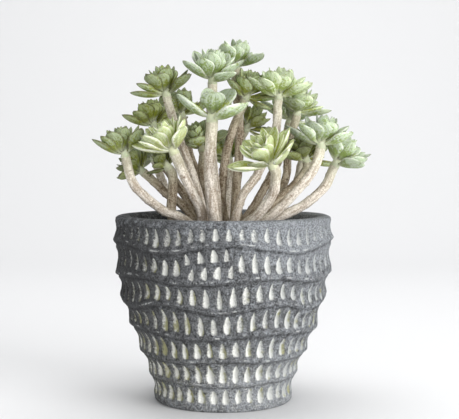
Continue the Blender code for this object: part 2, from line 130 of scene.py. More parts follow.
# Heads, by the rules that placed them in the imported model
GOLDEN_ANGLE = 137.5
HEAD_GAP = 0.35
CORE_HEIGHT = 6.0
# How far the core reaches down over the gap, into the end of its stem
CORE_FOOT = 0.8
LOWEST_LEAF = 1.4
HIGHEST_LEAF = 4.6
ROOT_OFFSET = 1.2
CLEARANCE = 0.5
STEM_CLEARANCE = 0.25
# How much shorter, narrower and straighter the innermost leaf is than the lowest
SHORTENING = 0.58
NARROWING = 0.48
LEAF_CURL = 16
CURL_LOSS = 8
SPIN_JITTER = 6
LIFT_JITTER = 5
# What is tried to clear a leaf: shares of its size, and degrees of lift and turn
SIZE_TRIES = (1.0, 0.86, 0.72, 0.58)
BEND_TRIES = ((0, 0), (11, 0), (-11, 0), (0, 12), (0, -12), (22, 0), (11, 14), (11, -14), (-11, 14),
              (-11, -14), (33, 0), (22, 22), (22, -22), (-22, 0), (44, 0))
# How blunt a leaf's outline is: the lower, the rounder its tip
POINTED_LEAF = 0.85
ROUND_LEAF = 0.6
# Shares of a leaf's width: its thickness, how far its edges rise, and its upper and lower side
LEAF_THICKNESS = 0.14
LEAF_CUP = 0.16
UPPER_FACE = 0.75
LOWER_FACE = 1.1
# Sides and rings of the shown leaves, and of the plainer ones that are tested, which are plainer still from
# some way up a head
LEAF_SIDES = 16
LEAF_RINGS = 16
TEST_SIDES = 4
TEST_RINGS = 4
INNER_TEST_RINGS = 3
INNER_FROM = 0.6
# The leaves between the placed ones
BETWEEN_SEED = 50
BETWEEN_SPIN_JITTER = 8
BETWEEN_WIDTH = 0.92
# The tight heart of a head: how many leaves, how far they climb, the longest as a share of the head's leaves
HEART = (12, 5.3, 0.66)
BROAD_HEART = (3, 4.0, 0.45)
SHORTEST_HEART = 0.33
HEART_WIDTHS = (0.46, 0.22)
HEART_OFFSETS = (1.0, 0.3)
HEART_LIFTS = (52, 84)

# Each shoot: neck (the stem's top), the head's tilt from upright and the way it tilts (0 towards +X, 90
# towards +Y), the root's place in the soil, the points that the stem passes, the stem's radius, the leaves'
# length, width and number, the way the lowest leaf points, the lift of the lowest and of the innermost leaf,
# and the tone
Shoot = namedtuple("Shoot", "neck tilt toward root via radius length width leaves turn low high tone")
SHOOTS = [
    Shoot((-6, -26, 153), 8, -90, (-4, -15), [(-6, -21, 108), (-7, -25, 130)],
          3.4, 23, 18.5, 6, -35, 12, 80, "pale"),
    Shoot((26, -36, 129), 36, -145, (10, -19), [(18, -24, 103), (26, -29, 115)],
          3.0, 25, 12, 15, 150, 8, 78, "fresh"),
    Shoot((-26, -21, 136), 26, -160, (-12, -11), [(-12, -15, 105), (-19, -19, 120)],
          3.0, 23, 11, 12, 165, 22, 78, "fresh"),
    Shoot((-6, -4, 174), 6, -80, (-3, -1), [(-4, 0, 112), (-7, -1, 145)],
          2.8, 23, 13, 13, -60, 10, 80, "pale"),
    Shoot((52, -18, 139), 10, -10, (17, -11), [(29, -15, 105), (46, -18, 124)],
          2.9, 21, 13.5, 11, 185, 8, 78, "pale"),
    Shoot((-53, -8, 134), 10, 180, (-18, -3), [(-24, -5, 101), (-34, -7, 105.5), (-48, -8, 118)],
          2.7, 19, 12, 11, 190, 24, 78, "fresh"),
    Shoot((61, -2, 129), 28, 0, (21, -3), [(30, -3, 100.5), (44, -3, 107.5), (55, -3, 117)],
          2.8, 22, 13, 12, -60, 12, 78, "pale"),
    Shoot((30, -4, 165), 8, 0, (6, -7), [(10, -6, 112), (19, -4, 125), (28, -4, 146)],
          2.6, 21, 13, 12, 190, 12, 80, "fresh"),
    Shoot((-31, 0, 167), 10, 170, (-10, 1), [(-15, 1, 118), (-25, 1, 146)],
          2.6, 20, 12, 12, 185, 4, 80, "fresh"),
    Shoot((7, 17, 183), 10, 50, (6, 4), [(7, 8, 115), (9, 15, 145)],
          2.7, 18.5, 11, 13, -40, 12, 80, "pale"),
    Shoot((12, 7, 165), 26, -15, (1, 14), [(-1, 13, 115), (3, 10.5, 142)],
          2.6, 20, 13, 9, -30, 6, 74, "fresh"),
    Shoot((41, 14, 157), 14, 15, (17, 11), [(27, 13, 107), (35, 14, 122), (36, 14, 140)],
          2.5, 18, 12, 11, 0, 8, 78, "fresh"),
    Shoot((-39, 18, 150), 8, 150, (-10, 16), [(-22, 17, 112), (-35, 18, 132)],
          2.6, 18, 12, 10, 200, 14, 78, "olive"),
    Shoot((46, 5, 131), 12, 170, (17, 4), [(27, 4, 108), (39, 5, 118)],
          2.5, 16, 11, 9, 230, 10, 78, "olive"),
    Shoot((12, 22, 148), 34, 0, (9, 14), [(7, 18, 112), (8, 21, 130)],
          2.5, 19, 9, 10, 10, 10, 78, "olive"),
    Shoot((-12, 8, 138), 30, -120, (-5, 7), [(-9, 8, 112), (-12, 9, 126)],
          2.5, 18, 13, 8, 220, -8, 74, "fresh"),
    Shoot((-45, 14, 125), 52, 175, (-16, 8), [(-22, 11, 106), (-32, 14, 113)],
          2.6, 17, 10, 10, 240, 10, 78, "olive"),
    Shoot((-30, 5, 127), 34, 180, (-28, 4), [(-29, 5, 105), (-28, 5, 117)],
          2.9, 12, 8, 8, 200, 8, 76, "olive"),
    Shoot((-24, 38, 156), 20, 115, (-4, 22), [(-11, 27, 112), (-20, 35, 136)],
          2.6, 20, 12, 11, 100, 4, 78, "fresh"),
    Shoot((38, 38, 153), 18, 45, (11, 21), [(19, 27, 108), (32, 35, 132)],
          2.6, 20, 12, 11, 45, 4, 78, "pale"),
    Shoot((46, 34, 132), 28, 30, (20, 18), [(30, 24, 104), (41, 31, 116)],
          2.6, 20, 12, 10, 20, 4, 78, "fresh"),
    Shoot((-40, 38, 131), 28, 140, (-13, 24), [(-21, 29, 103), (-33, 35, 114)],
          2.6, 20, 12, 10, 150, 4, 78, "pale"),
    Shoot((3, 52, 131), 34, 92, (2, 29), [(2, 37, 103), (3, 47, 114)],
          2.7, 20, 12, 10, 80, 2, 78, "fresh"),
]
# Heads of a few broad, round leaves that wind the other way round, by number from 1, and their heart leaves
BROAD_HEADS = (1,)
# Heads whose leaves are of another kind than their tone: with broad white edges, or softly frosted
HEAD_KINDS = {2: "edged", 3: "edged", 8: "soft", 12: "soft"}
# How much lighter or darker than their kind some heads are, by number from 1, on a scale from 0 to 1
HEAD_SHADES = {1: 0.10, 2: 0.12, 3: 0.16, 5: -0.05, 8: 0.20, 9: -0.12, 11: 0.12, 12: 0.20, 13: 0.24}
# Shoots with the darker brown bark, the inner and the rear ones: partly their own colour, partly painted
# shade, by number from 1
SHADED_BROWN_STEMS = (10, 11, 12, 13, 14, 15, 16, 17, 18, 19, 20)

# Colours of the pot: the cast, the painted shade at its left, its dry-brushed powder, scratches, the painted
# shade in the undercuts, chips, and the paint in its gouges, with painted shade on the gouges' right flanks
CAST_DARK = (0.010, 0.011, 0.012)
CAST_LIGHT = (0.165, 0.170, 0.178)
# Painted shade for the pot's left side, away from the light
LEFT_PAINTED_SHADE = (0.018, 0.018, 0.018)
# Dry-brushed powder, also used as painted light at the right, the lip and the foot
POWDER_DARK = (0.15, 0.16, 0.175)
POWDER_LIGHT = (0.33, 0.35, 0.37)
SCRATCH = (0.42, 0.44, 0.45)
# Painted shade for the undercuts below the ridges
UNDERCUT_PAINTED_SHADE = (0.014, 0.014, 0.015)
CHIP = (0.52, 0.53, 0.52)
WHITEWASH = (0.85, 0.85, 0.80)
# Grey wash and algae, also used as painted shade on the gouges' right flanks
GREY_WASH_AND_FLANK_SHADE = (0.32, 0.34, 0.35)
ALGAE_AND_FLANK_SHADE = (0.33, 0.32, 0.12)

# Colours of the soil and of the barks
SOIL_DARK = (0.010, 0.007, 0.005)
SOIL_LIGHT = (0.085, 0.060, 0.042)
GREEN_BARK = (0.50, 0.50, 0.36)
Bark = namedtuple("Bark", "name dark light scar")
BARKS = {
    "pale": Bark("pale_bark", (0.34, 0.27, 0.20), (0.86, 0.80, 0.71), (0.22, 0.16, 0.11)),
    # The brown bark is partly the stems' own colour and partly painted shade
    "brown": Bark("brown_shaded_bark", (0.16, 0.11, 0.06), (0.60, 0.52, 0.40), (0.09, 0.055, 0.03)),
}

# The kinds of leaf: colours of the upper side's root and blade, of the under side's blade and neck, of the
# edge and the bloom; how thick the bloom lies, where the edge's colour starts and how brown the tip is
BROWN_TIP = (0.11, 0.10, 0.05)
RIM_BLUR = 0.16
LeafKind = namedtuple("LeafKind", "name deep flesh under neck edge bloom frost rim tip")
LEAF_KINDS = {
    "pale": LeafKind("frosted_leaf", deep=(0.32, 0.37, 0.03), flesh=(0.27, 0.36, 0.11),
                     under=(0.25, 0.33, 0.10), neck=(0.54, 0.57, 0.40), edge=(0.62, 0.66, 0.56),
                     bloom=(0.48, 0.55, 0.42), frost=0.9, rim=1.10, tip=0.3),
    "soft": LeafKind("soft_leaf", deep=(0.33, 0.37, 0.02), flesh=(0.26, 0.34, 0.07),
                     under=(0.24, 0.31, 0.07), neck=(0.54, 0.57, 0.40), edge=(0.46, 0.50, 0.37),
                     bloom=(0.47, 0.53, 0.37), frost=0.88, rim=1.13, tip=0.5),
    "fresh": LeafKind("fresh_leaf", deep=(0.33, 0.36, 0.015), flesh=(0.25, 0.30, 0.03),
                      under=(0.23, 0.27, 0.03), neck=(0.54, 0.57, 0.40), edge=(0.13, 0.13, 0.045),
                      bloom=(0.43, 0.50, 0.33), frost=0.78, rim=1.08, tip=0.8),
    "olive": LeafKind("olive_leaf", deep=(0.27, 0.29, 0.01), flesh=(0.22, 0.26, 0.02),
                      under=(0.19, 0.22, 0.02), neck=(0.54, 0.57, 0.40), edge=(0.10, 0.10, 0.03),
                      bloom=(0.39, 0.44, 0.26), frost=0.62, rim=1.08, tip=0.8),
    "edged": LeafKind("edged_leaf", deep=(0.38, 0.42, 0.015), flesh=(0.35, 0.40, 0.035),
                      under=(0.40, 0.44, 0.16), neck=(0.58, 0.60, 0.40), edge=(0.76, 0.78, 0.62),
                      bloom=(0.56, 0.63, 0.42), frost=0.6, rim=1.00, tip=0.4),
}

# Stage and light, in metres: each light's name, place, aim, size and power
FLOOR_HALF_WIDTH = 4.0
FLOOR_FRONT = -2.4
FLOOR_BACK = 1.6
BACKDROP_HEIGHT = 3.0
BACKDROP_BEND = 0.9
PAPER = (0.77, 0.77, 0.775)
SURROUNDINGS = (0.97, 0.985, 1.0)
SURROUNDINGS_STRENGTH = 0.42
PLANT_MIDDLE = (0.0, 0.0, 0.11)
LIGHTS = [
    ("key", (1.0, -0.9, 0.34), PLANT_MIDDLE, 1.0, 22.0),
    ("front", (0.1, -1.5, 0.25), PLANT_MIDDLE, 0.9, 9.5),
    ("above", (0.0, 0.1, 1.3), PLANT_MIDDLE, 0.9, 7.5),
    ("backdrop", (0.0, 0.5, 1.5), (0.0, 1.6, 0.3), 1.2, 7.2),
]


# Mesh helpers

def add_object(name, data):
    """A new object in the scene."""
    made = bpy.data.objects.new(name, data)
    bpy.context.scene.collection.objects.link(made)
    return made


def add_mesh(name, bm, material):
    """Turn a bmesh into a smooth object with one material."""
    mesh = bpy.data.meshes.new(name)
    bm.to_mesh(mesh)
    bm.free()
    mesh.shade_smooth()
    mesh.materials.append(material)
    return add_object(name, mesh)


def add_piece(name, bm, material, slot, *nodes):
    """Turn a bmesh into a piece that stands for some of the model's nodes."""
    piece = add_mesh(name, bm, material)
    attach(piece, "root")
    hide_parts(*nodes)


def wrapped_grid(bm, columns, rows, place):
    """A grid closed into a tube: place(vert, column, row) gives each point. Returns its two open loops."""
    made = bmesh.ops.create_grid(bm, x_segments=columns, y_segments=rows, size=1.0)
    ends = {0: [], rows: []}
    for vert in made["verts"]:
        column = round((vert.co.x + 1) / 2 * columns) % columns
        row = round((vert.co.y + 1) / 2 * rows)
        vert.co = place(vert, column, row)
        if row in ends:
            ends[row].append(vert)
    seam = [vert for vert in made["verts"] if vert.is_boundary]
    bmesh.ops.remove_doubles(bm, verts=seam, dist=0.001 * MM)
    return [loop_edges(ends[0]), loop_edges(ends[rows])]


def edges_at(verts):
    """The edges that meet some points: each once, and in the same order in every run."""
    return list(dict.fromkeys(edge for vert in verts for edge in vert.link_edges))


def loop_edges(verts):
    """The open edges between neighbouring points of a loop."""
    verts = [vert for vert in verts if vert.is_valid]
    kept = set(verts)
    return [edge for edge in edges_at(verts) if edge.is_boundary and kept.issuperset(edge.verts)]


def smooth_share(share):
    """0 to 1 with a gentle start and end."""
    share = max(0.0, min(1.0, share))
    return share * share * (3 - 2 * share)


def mix(start, end, share):
    """A value at a share of the way from one to another."""
    return start + (end - start) * share


def front_point(angle, radius, height):
    """A point around the pot's axis, in metres, from its angle to the front."""
    turned = math.radians(angle)
    return Vector((radius * math.sin(turned), -radius * math.cos(turned), height)) * MM


# The pot

def ridge_height(ridge, angle):
    """Height of a ridge's crest: a slow wave with small unevenness of its own."""
    wave = ridge.wave * math.cos(math.radians(ridge.waves * (angle - ridge.crest)))
    height = ridge.height + wave
    if ridge.wave:
        height += 0.7 * noise.noise(front_point(angle, ridge.radius, ridge.height) * 55.0)
    return height


def gouge_cells(row, index, chance):
    """The drawn sizes of every gouge of a row; a doubled cell holds a short gouge above another."""
    step = 360.0 / row.gouges
    cells = []
    for cell in range(row.gouges):
        angle = (row.phase + cell * step + 180.0) % 360.0 - 180.0
        doubled = index == DOUBLE_ROW and DOUBLE_FROM < angle < DOUBLE_TO
        cells.append({
            "angle": row.phase + cell * step,
            "half": GOUGE_WIDTH * chance.uniform(0.74, 1.06) * 0.5,
            "begin": DOUBLE_BEGIN if doubled else row.begin + chance.uniform(-0.04, 0.06),
            "end": DOUBLE_END if doubled else row.end + chance.uniform(-0.08, 0.03),
            "lean": chance.uniform(-0.05, 0.15) + (LEFT_LEAN if angle < 0 else 0.0),
            "point": chance.uniform(0.75, 1.25),
            "shift": chance.uniform(-0.1, 0.1),
            "depth": GOUGE_DEPTH * chance.uniform(0.75, 1.1),
            "paint": chance.uniform(0.72, 1.0),
            "doubled": doubled,
        })
    return cells


def row_share(step, begin, end):
    """The share of the way down between two ridges of a row of points."""
    if step < ROWS_ABOVE:
        return mix(WALL_START, begin, step / ROWS_ABOVE)
    inside = step - ROWS_ABOVE
    if inside < ROWS_INSIDE:
        return mix(begin, end, inside / (ROWS_INSIDE - 1))
    return mix(end, 1.0, (inside - ROWS_INSIDE + 1) / ROWS_BELOW)


def gouge_run(step, doubled):
    """How far down a gouge a row of points lies, or None outside, and whether it is the upper of two."""
    inside = step - ROWS_ABOVE
    if not 0 <= inside < ROWS_INSIDE:
        return None, False
    if not doubled:
        return inside / (ROWS_INSIDE - 1), False
    half = ROWS_INSIDE // 2
    return (inside % half) / (half - 1), inside < half


def gouge_outline(run, point):
    """Share of a gouge's half width along its length: drawn out to a point above, round below."""
    widest = point / (point + 0.45)
    return (run / widest) ** point * ((1 - run) / (1 - widest)) ** 0.45


def gouge_floor(run):
    """Depth of a gouge along its middle: it slopes in from the top and ends steeply."""
    return min(1.0, (run / 0.5) ** 0.8) * min(1.0, ((1 - run) / 0.3) ** 0.6)


def gouge_paint(run, across, half):
    """How thick the paint lies: whole inside a gouge, fading over its edge and ends."""
    if run is None:
        return 0.0
    ends = min(1.0, run / 0.12) * min(1.0, (1 - run) / 0.10)
    if abs(across) < half:
        return ends * mix(HALO, 1.0, math.sqrt(1 - (across / half) ** 2))
    return ends * HALO * max(0.0, 1 - (abs(across) - half) / 0.3)


def column_place(column, half):
    """Where a column lies across its cell, from -1 to 1, crowded along the gouge's outline."""
    middle = CELL_COLUMNS // 2
    side = -1 if column < middle else 1
    place = (0.0, 0.5 * half, 0.9 * half, half + EDGE, half + EDGE + (1 - half - EDGE) * 0.45, 1.0)
    return side * place[abs(column - middle)]


def crease_share(share):
    """How deep in the undercut below a ridge a share of the way down lies."""
    return math.exp(-((share - 0.12) / 0.045) ** 2)


def wall_radius(index, angle, share):
    """Radius of the wall between two ridges: each is a roll, with an undercut of changing depth below."""
    upper = RIDGES[index]
    lower = RIDGES[index + 1]
    sink = GOUGE_ROWS[index].valley * math.sin(math.pi * share ** 0.85) ** 1.7
    radius = mix(upper.radius, lower.radius, share) - sink
    if index + 1 < len(GOUGE_ROWS):
        radius += ROLL * math.exp(-((1 - share) / 0.12) ** 2)
    if index:
        fade = 0.8 + 0.9 * noise.noise(front_point(angle, upper.radius, upper.height) * 70.0)
        radius += ROLL * math.exp(-(share / 0.06) ** 2) - UNDERCUT * fade * crease_share(share)
    return radius


def roughness(point):
    """Unevenness of the cast wall, in millimetres."""
    slow = 0.5 * noise.noise(point * 38.0) + 0.35 * noise.noise(point * 110.0)
    return slow + 0.2 * noise.noise(point * 330.0)


def build_gouge_row(bm, layers, index, chance):
    """One row of gouges with the ridge below it."""
    row = GOUGE_ROWS[index]
    upper = RIDGES[index]
    lower = RIDGES[index + 1]
    cells = gouge_cells(row, index, chance)
    step_angle = 360.0 / row.gouges
    rows = ROWS_ABOVE + ROWS_INSIDE + ROWS_BELOW - 1

    def place(vert, column, step):
        """A point of the row, with what the pot's material reads there."""
        cell = cells[column // CELL_COLUMNS]
        local = column % CELL_COLUMNS
        run, is_upper = gouge_run(step, cell["doubled"])
        width = 2 * cell["half"] / (math.radians(step_angle) * upper.radius)
        half = PINCH
        if run is not None:
            ragged = 1 + 0.25 * noise.noise(Vector((cell["angle"], run * 4, index)))
            half = min(0.9, max(PINCH, width * ragged * gouge_outline(run, cell["point"])))
        across = column_place(local, half)
        inward = 1 - abs(across)
        nominal = row_share(step, row.begin, row.end)
        share = mix(nominal, row_share(step, cell["begin"], cell["end"]), inward)
        slide = cell["shift"] + cell["lean"] * ((nominal - row.begin) / (row.end - row.begin) - 0.5)
        if cell["doubled"]:
            slide += UPPER_SHIFT if is_upper else LOWER_SHIFT
        angle = cell["angle"] + 0.5 * step_angle * (across + slide * inward)
        hollow = 0.0
        if run is not None and abs(across) < half:
            hollow = gouge_floor(run) * math.sqrt(1 - (across / half) ** 2)
        height = mix(ridge_height(upper, angle), ridge_height(lower, angle), share)
        radius = wall_radius(index, angle, share)
        rough = roughness(front_point(angle, radius, height))
        vert[layers["paint"]] = cell["paint"] * gouge_paint(run, across, half)
        # Which side of a gouge a point lies on, for the painted shade on its right flank
        vert[layers["flank"]] = smooth_share(0.5 + 0.6 * across / half)
        # Where the painted shade of the undercut below a ridge lies
        vert[layers["undercut_shade"]] = crease_share(share) if index else 0.0
        vert[layers["ridge"]] = smooth_share((share - 0.84) / 0.16)
        return front_point(angle, radius - cell["depth"] * hollow + rough, height)

    return wrapped_grid(bm, row.gouges * CELL_COLUMNS, rows, place)


def round_ring(bm, height, radius, columns):
    """A plain ring of the pot, a little uneven, as its edges."""
    made = bmesh.ops.create_circle(bm, segments=columns, radius=radius * MM)
    for vert in made["verts"]:
        vert.co.z = height * MM
        if height > 0.0:
            out = Vector((vert.co.x, vert.co.y, 0)).normalized()
            vert.co += out * roughness(vert.co) * MM
            vert.co.z += 0.35 * noise.noise(vert.co * 24.0) * MM * smooth_share((height - 60) / 40)
    return edges_at(made["verts"])


def bridge_rings(bm, above, rings, columns):
    """Continue a wall from an open loop through plain rings, and close the last."""
    for height, radius in rings:
        ring = round_ring(bm, height, radius, columns)
        bmesh.ops.bridge_loops(bm, edges=above + ring)
        above = ring
    bmesh.ops.edgeloop_fill(bm, edges=above)


def build_pot(material):
    """Rows of gouges from the lip down, then the lip with the cavity, and the foot."""
    chance = random.Random(GOUGE_SEED)
    bm = bmesh.new()
    layers = {name: bm.verts.layers.float.new(name) for name in ("paint", "flank", "undercut_shade", "ridge")}
    loops = [build_gouge_row(bm, layers, index, chance) for index in range(len(GOUGE_ROWS))]
    for upper, lower in zip(loops, loops[1:]):
        bmesh.ops.bridge_loops(bm, edges=upper[1] + lower[0])
    bridge_rings(bm, loops[0][0], LIP_RINGS, RIM_COLUMNS)
    bridge_rings(bm, loops[-1][1], FOOT_RINGS, RIM_COLUMNS)
    bmesh.ops.recalc_face_normals(bm, faces=bm.faces)
    add_piece("pot_shell", bm, material, "pot", "pot")


# The soil

def soil_height(radius):
    """Height of the mounded soil at a distance from the pot's axis."""
    return SOIL_EDGE_HEIGHT + SOIL_MOUND * math.cos(radius / SOIL_EDGE_RADIUS * math.pi / 2)


def build_soil(material):
    """A mounded bed with an uneven surface and loose crumbs on it."""
    chance = random.Random(SOIL_SEED)
    bm = bmesh.new()

    def place(vert, column, row):
        """A point of the bed, uneven inside its edge."""
        angle = math.tau * column / SOIL_COLUMNS
        radius = SOIL_EDGE_RADIUS * (1 - row / (SOIL_ROWS + 1))
        point = Vector((radius * math.cos(angle), radius * math.sin(angle), soil_height(radius)))
        if row:
            point.z += 0.9 * noise.noise(point * 0.16) + 0.6 * noise.noise(point * 0.6)
        return point * MM

    rim, crown = wrapped_grid(bm, SOIL_COLUMNS, SOIL_ROWS, place)
    bmesh.ops.edgeloop_fill(bm, edges=crown)
    foot = bmesh.ops.create_circle(bm, segments=SOIL_COLUMNS, radius=SOIL_FLOOR_RADIUS * MM)
    edges = edges_at(foot["verts"])
    for vert in foot["verts"]:
        vert.co.z = SOIL_FLOOR_HEIGHT * MM
    bmesh.ops.bridge_loops(bm, edges=rim + edges)
    bmesh.ops.edgeloop_fill(bm, edges=edges)
    for _ in range(CRUMBS):
        radius = (SOIL_EDGE_RADIUS - 1.5) * math.sqrt(chance.random())
        angle = chance.uniform(0, math.tau)
        size = chance.uniform(0.35, 1.1)
        height = soil_height(radius) + 0.3 * size
        middle = Vector((radius * math.cos(angle), radius * math.sin(angle), height))
        turn = Matrix.Rotation(chance.uniform(0, math.tau), 4, Vector((1, chance.random(), 0.5)))
        shape = Matrix.Diagonal((size, size * chance.uniform(0.6, 1.0), size * chance.uniform(0.5, 0.9), 1))
        bmesh.ops.create_icosphere(bm, subdivisions=1, radius=MM,
                                   matrix=Matrix.Translation(middle * MM) @ turn @ shape)
    bmesh.ops.recalc_face_normals(bm, faces=bm.faces)
    add_piece("soil_bed", bm, material, "soil", "soil")


# The stems

def head_axis(shoot):
    """Unit vector up the middle of a shoot's head."""
    tilt = math.radians(shoot.tilt)
    toward = math.radians(shoot.toward)
    return Vector((math.sin(tilt) * math.cos(toward), math.sin(tilt) * math.sin(toward), math.cos(tilt)))


def stem_route(shoot):
    """The points that a stem passes above the soil, with one more at each end that gives its direction."""
    x, y = shoot.root
    surface = Vector((x, y, soil_height(math.hypot(x, y)) + 1))
    via = [Vector(point) for point in shoot.via]
    neck = Vector(shoot.neck)
    return [via[0] - Vector((0, 0, 2 * RISE)), surface, *via, neck - head_axis(shoot) * NECK_LENGTH, neck]


def smooth_point(points, position):
    """A point on the Catmull-Rom curve through the inner points, at 0 to 1 along them."""
    spans = len(points) - 3
    place = min(position * spans, spans - 1e-6)
    index = int(place)
    share = place - index
    before, start, end, after = points[index:index + 4]
    slope_in = (end - before) * 0.5
    slope_out = (after - start) * 0.5
    square = share * share
    cube = square * share
    return (start * (2 * cube - 3 * square + 1) + slope_in * (cube - 2 * square + share)
            + end * (3 * square - 2 * cube) + slope_out * (cube - square))


def stem_line(shoot):
    """Evenly spaced points along a stem, from its buried end to its neck."""
    points = stem_route(shoot)
    fine = [smooth_point(points, step / STEM_SAMPLES) for step in range(STEM_SAMPLES + 1)]
    root = Vector((*shoot.root, soil_height(math.hypot(*shoot.root)) - STEM_DEPTH))
    path = [root.lerp(fine[0], step / 8) for step in range(8)] + fine
    path += [fine[-1].lerp(Vector(shoot.neck), step / 4) for step in range(1, 5)]
    travelled = [0.0]
    for start, end in zip(path, path[1:]):
        travelled.append(travelled[-1] + (end - start).length)
    count = round(travelled[-1] / STEM_STEP)
    line = []
    index = 0
    for step in range(count + 1):
        goal = travelled[-1] * step / count
        while index < len(path) - 2 and travelled[index + 1] < goal:
            index += 1
        share = (goal - travelled[index]) / (travelled[index + 1] - travelled[index])
        line.append(path[index].lerp(path[index + 1], min(1.0, share)))
    return line


def path_frames(line):
    """Side vectors that follow a line without twisting about it."""
    side = Vector((1, 0, 0))
    frames = []
    for index in range(len(line)):
        before = line[max(0, index - 1)]
        after = line[min(len(line) - 1, index + 1)]
        along = (after - before).normalized()
        side = (side - along * side.dot(along)).normalized()
        frames.append((side, along.cross(side)))
    return frames


def scar_marks(length, chance):
    """Leaf scars up a stem: distance along it, angle around it and strength."""
    marks = []
    place = FIRST_SCAR
    turn = chance.uniform(0, math.tau)
    while place < length - 1.0:
        marks.append((place, turn % math.tau, chance.uniform(0.5, 1.0)))
        place += SCAR_STEP * chance.uniform(0.6, 1.4)
        turn += math.radians(GOLDEN_ANGLE) + chance.uniform(-0.5, 0.5)
    return marks


def scar_at(marks, radius, place, turn):
    """Depth of the leaf scars at a point of the bark, from 0 to 1, and the swelling under them."""
    dent = 0.0
    swell = 0.0
    for mark_place, mark_turn, strength in marks:
        along = place - mark_place
        if abs(along) < 2.4:
            around = radius * ((turn - mark_turn + math.pi) % math.tau - math.pi)
            bow = along - 0.12 * around * around
            dent = max(dent, strength * math.exp(-(bow / 0.32) ** 2 - (around / 1.3) ** 2))
            swell = max(swell, strength * math.exp(-((along + 0.9) / 0.8) ** 2 - (around / 1.5) ** 2))
    return dent, swell


def build_stem(index, shoot, material):
    """A tube along the stem's line with knobbly bark and leaf scars."""
    chance = random.Random(STEM_SEED + index)
    line = stem_line(shoot)
    frames = path_frames(line)
    length = STEM_STEP * (len(line) - 1)
    marks = scar_marks(length, chance)
    bm = bmesh.new()
    layers = {name: bm.verts.layers.float.new(name) for name in ("scar", "height")}
    unrolled = bm.verts.layers.float_vector.new("unrolled")

    def place(vert, column, row):
        """A point of the bark, with what its material reads there."""
        turn = math.tau * column / STEM_SIDES
        side, up = frames[row]
        out = side * math.cos(turn) + up * math.sin(turn)
        share = row / (len(line) - 1)
        base = shoot.radius * mix(1.0, STEM_TAPER, smooth_share(share * 4))
        dent, swell = scar_at(marks, base, row * STEM_STEP, turn)
        bark = line[row] + out * base
        rough = 0.22 * noise.noise(bark * 0.22) + 0.12 * noise.noise(bark * 0.9)
        vert[layers["scar"]] = dent
        vert[layers["height"]] = share
        along = STREAK * row * STEM_STEP + 9 * index
        vert[unrolled] = Vector((base * math.cos(turn), base * math.sin(turn), along))
        return (line[row] + out * (base + rough - SCAR_DEPTH * dent + SCAR_SWELL * swell)) * MM

    loops = wrapped_grid(bm, STEM_SIDES, len(line) - 1, place)
    for loop in loops:
        bmesh.ops.edgeloop_fill(bm, edges=loop)
    bmesh.ops.recalc_face_normals(bm, faces=bm.faces)
    add_piece(f"stalk_{index:02d}", bm, material, "stem", f"stem_{index:02d}")


# The heads

# A leaf: the place of its root, the way it points, its head's axis, its length, width and bluntness, its
# lift above level, how far it curls up, and the rings of its test mesh
Leaf = namedtuple("Leaf", "place outward axis length width blunt lift curl rings")


def leaf_half_width(share, blunt):
    """Half width of a blade of width 1 along its length: narrow root, widest past the middle."""
    return 0.5 * math.sin(math.pi * share ** 1.7) ** blunt


def leaf_half_thickness(share):
    """Half thickness of a blade, as a share of its width."""
    return LEAF_THICKNESS * math.sin(math.pi * share ** 0.85) ** 0.6


def add_leaf(bm, leaf, sides, rings, grow=0.0, layer=None, shade=0.5):
    """A leaf from a sphere whose poles become its root and its tip.

    A test leaf is grown all round. A shown one gets a groove, a wavy edge and the layer that its material
    reads: share of its length, share across, upper side and shade.
    """
    sphere = bmesh.ops.create_uvsphere(bm, u_segments=sides, v_segments=rings, radius=1.0)
    side = leaf.axis.cross(leaf.outward)
    for vert in sphere["verts"]:
        share = math.acos(max(-1.0, min(1.0, -vert.co.z))) / math.pi
        reach = math.hypot(vert.co.x, vert.co.y)
        across = vert.co.x / reach if reach > 1e-4 else 0.0
        thick = vert.co.y / reach if reach > 1e-4 else 0.0
        bow = leaf.curl * share
        angle = math.radians(leaf.lift + 0.5 * bow)
        along = leaf.outward * math.cos(angle) + leaf.axis * math.sin(angle)
        tangent = math.radians(leaf.lift + bow)
        up = leaf.axis * math.cos(tangent) - leaf.outward * math.sin(tangent)
        half = leaf.width * leaf_half_width(share, leaf.blunt) + grow * abs(across)
        face = UPPER_FACE if thick > 0 else LOWER_FACE
        depth = leaf.width * leaf_half_thickness(share) * face + grow * abs(thick)
        cup = LEAF_CUP * half * across * across
        if layer:
            groove = 0.3 * math.exp(-(across / 0.3) ** 2) if thick > 0 else 0.0
            depth *= 1 - groove * math.sin(math.pi * share)
            half *= 1 + 0.05 * noise.noise(leaf.place + Vector((share * 5, across, 0)))
            vert[layer] = (share, abs(across), 1.0 if thick > 0 else 0.0, shade)
        vert.co = (leaf.place + along * leaf.length * share + side * half * across
                   + up * (depth * thick + cup)) * MM


def leaf_root(shoot, turn, height, offset):
    """The place of a leaf's root on its head, the way it points, and the head's axis."""
    axis = head_axis(shoot)
    start = Vector((0, 1, 0)).cross(axis).normalized()
    outward = Matrix.Rotation(math.radians(turn), 3, axis) @ start
    return Vector(shoot.neck) + axis * HEAD_GAP + axis * height + outward * offset, outward, axis


def leaf_size(shoot, rank):
    """Length and width of a leaf, by its rank from 0 for the lowest to 1 for the innermost."""
    return shoot.length * (1 - SHORTENING * rank ** 1.2), shoot.width * (1 - NARROWING * rank)


